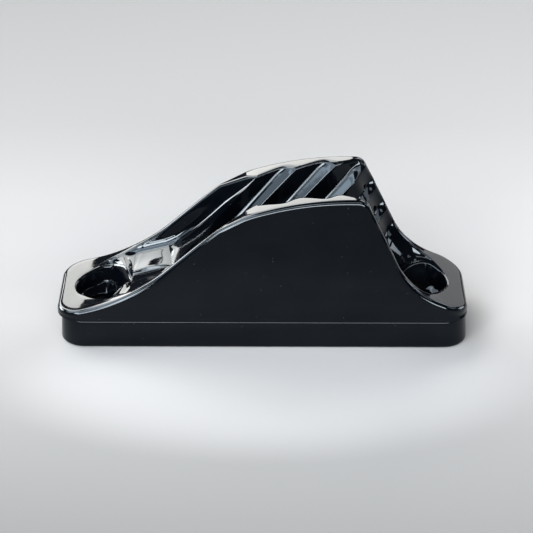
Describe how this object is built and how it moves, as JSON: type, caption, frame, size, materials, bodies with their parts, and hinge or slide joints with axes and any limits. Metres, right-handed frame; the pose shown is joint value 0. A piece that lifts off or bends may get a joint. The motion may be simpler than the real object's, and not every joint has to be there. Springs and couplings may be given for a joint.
{
  "type": "ribbed rope cleat",
  "caption": "Open-top ribbed rope cleat: a V-shaped channel with diagonal ridges between two jaws, on a base pad with a screw well at each end.",
  "frame": {"origin": "centre of the footprint on the deck face of the base pad", "axes": "+X along the cleat from the long ramp to the steep end, +Z away from the deck"},
  "size_m": [0.066, 0.0176, 0.0262],
  "materials": {
    "jaw_body": "polished black moulding",
    "base_pad": "polished black moulding, slightly softer gloss"
  },
  "bodies": {
    "root": {"jaw_body": "jaw_body", "base_pad": "base_pad"}
  },
  "joints": []
}
